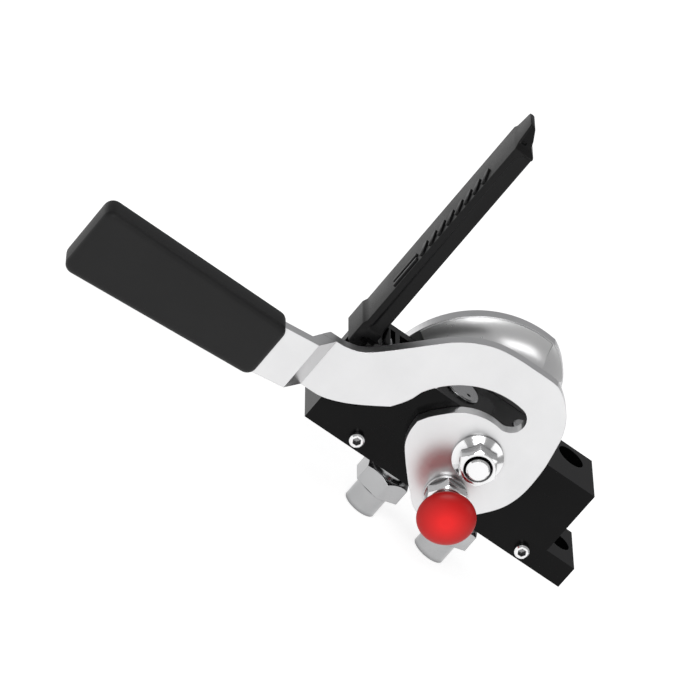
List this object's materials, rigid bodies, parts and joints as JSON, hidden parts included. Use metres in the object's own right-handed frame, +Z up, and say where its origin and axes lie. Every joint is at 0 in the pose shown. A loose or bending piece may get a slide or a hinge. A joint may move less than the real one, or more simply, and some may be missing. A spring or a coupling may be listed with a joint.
{
  "type": "rope clutch with lever tensioner",
  "caption": "Block-bodied rope clutch with an upright cam handle, twin hook plates round a grooved quadrant on a lever arm, and a locking plunger with a knob.",
  "frame": {"origin": "centre of the block's flat base face", "axes": "+Z up from the base face; +X along the block away from the lever's grip; +Y to the rear, along the pivot, away from the lever side"},
  "size_m": [0.3114, 0.0905, 0.22],
  "materials": {
    "black_anodised": "black anodised, semi-gloss",
    "satin_stainless": "fine satin",
    "polished_steel": "polished",
    "chrome_steel": "bright plated",
    "zinc_steel": "satin zinc",
    "spring_steel": "drawn wire",
    "cast_cam": "cast and tumbled",
    "dark_pin": "black oxide",
    "bronze": "machined",
    "grip_rubber": "smooth matt",
    "handle_plastic": "fine grain",
    "red_knob": "gloss"
  },
  "bodies": {
    "base": {"block": "black_anodised", "pivot_bush_front": "bronze", "pivot_bush_rear": "bronze", "lock_bushes": "bronze", "handle_pin": "polished_steel", "cam_pin": "polished_steel", "cam_spring": "spring_steel", "rope_shoe": "cast_cam", "shoe_pin": "dark_pin", "side_screws": "chrome_steel", "through_bolts": "zinc_steel", "stud_washers": "zinc_steel", "stud_nuts": "zinc_steel"},
    "lever": {"lever_plate": "satin_stainless", "rear_plate": "satin_stainless", "rope_quadrant": "polished_steel", "quadrant_nose": "polished_steel", "quadrant_screws": "polished_steel", "lever_grip": "grip_rubber", "pivot_bolt": "chrome_steel", "pivot_nut": "chrome_steel", "pivot_sleeve": "polished_steel", "plunger_body": "chrome_steel", "plunger_spring": "spring_steel"},
    "handle": {"clutch_handle": "handle_plastic"},
    "cam": {"clutch_cam": "cast_cam"},
    "plunger": {"plunger_pin": "polished_steel", "plunger_knob": "red_knob"}
  },
  "joints": [
    {"name": "lever_swing", "type": "hinge", "parent": "base", "child": "lever", "pos_m": [0, 0, 0.0364], "axis": [0, 1, 0], "range_deg": [0, 40]},
    {"name": "handle_swing", "type": "hinge", "parent": "base", "child": "handle", "pos_m": [-0.074, 0, 0.045], "axis": [0, 1, 0], "range_deg": [0, 45]},
    {"name": "cam_swing", "type": "hinge", "parent": "base", "child": "cam", "pos_m": [-0.0615, 0, 0.044], "axis": [0, 1, 0], "range_deg": [0, 22.5]},
    {"name": "plunger_slide", "type": "slide", "parent": "lever", "child": "plunger", "axis": [0, 1, 0], "range_m": [0, 0.0055]}
  ],
  "couplings": [
    {"joint": "cam_swing", "follows": "handle_swing", "ratio": 0.5}
  ]
}
